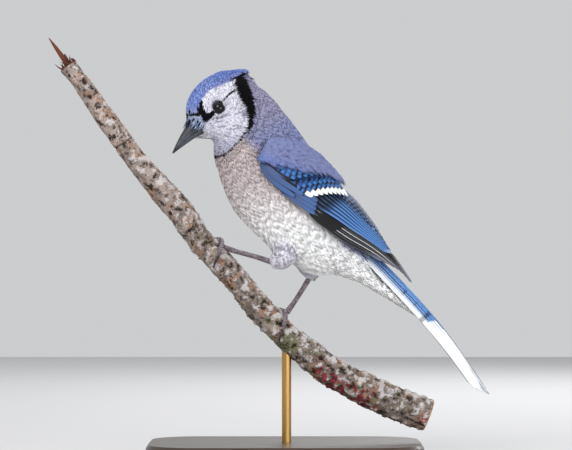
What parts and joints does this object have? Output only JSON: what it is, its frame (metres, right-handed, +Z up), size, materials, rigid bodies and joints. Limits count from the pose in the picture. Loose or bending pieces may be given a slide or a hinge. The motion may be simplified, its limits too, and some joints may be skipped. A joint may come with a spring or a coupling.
{
  "type": "blue jay museum model",
  "caption": "Life-size still model of a blue jay standing on a cut length of lichened branch, held on a flat base by one short rod.",
  "frame": {"origin": "centre of the base's underside, on the surface that the model stands on", "axes": "+Z up; the bird faces -X and its left side faces -Y"},
  "size_m": [0.2823, 0.116, 0.2709],
  "materials": {
    "plumage_head": "soft feathers, blue crest over a white face with a black necklace",
    "plumage_body": "soft feathers, grey-fawn breast, white belly, violet-grey back",
    "plumage_white": "soft white feathers",
    "plumage_blue": "smooth bright blue vanes with black bars and white tips",
    "eye": "glossy dark brown",
    "bill": "satin slate horn",
    "leg_scales": "dull grey scaled skin",
    "claw": "dark horn",
    "bark": "pale lichened bark",
    "splinter_wood": "torn red-brown wood",
    "base_wood": "dark satin wood",
    "rod_brass": "brushed brass"
  },
  "bodies": {
    "root": {"head": "plumage_head", "eye_left": "eye", "eye_right": "eye", "bill_upper": "bill", "bill_lower": "bill", "neck": "plumage_body", "torso": "plumage_body", "rump": "plumage_body", "tail_coverts": "plumage_white", "wing_left": "plumage_blue", "wing_right": "plumage_blue", "tail": "plumage_blue", "thigh_left": "plumage_body", "thigh_right": "plumage_body", "shank_left": "leg_scales", "shank_right": "leg_scales", "foot_left": "leg_scales", "foot_right": "leg_scales", "claw_left_1": "claw", "claw_left_2": "claw", "claw_left_3": "claw", "claw_left_4": "claw", "claw_right_1": "claw", "claw_right_2": "claw", "claw_right_3": "claw", "claw_right_4": "claw", "perch_branch": "bark", "perch_splinters": "splinter_wood", "stand_base": "base_wood", "stand_rod": "rod_brass"}
  },
  "joints": []
}
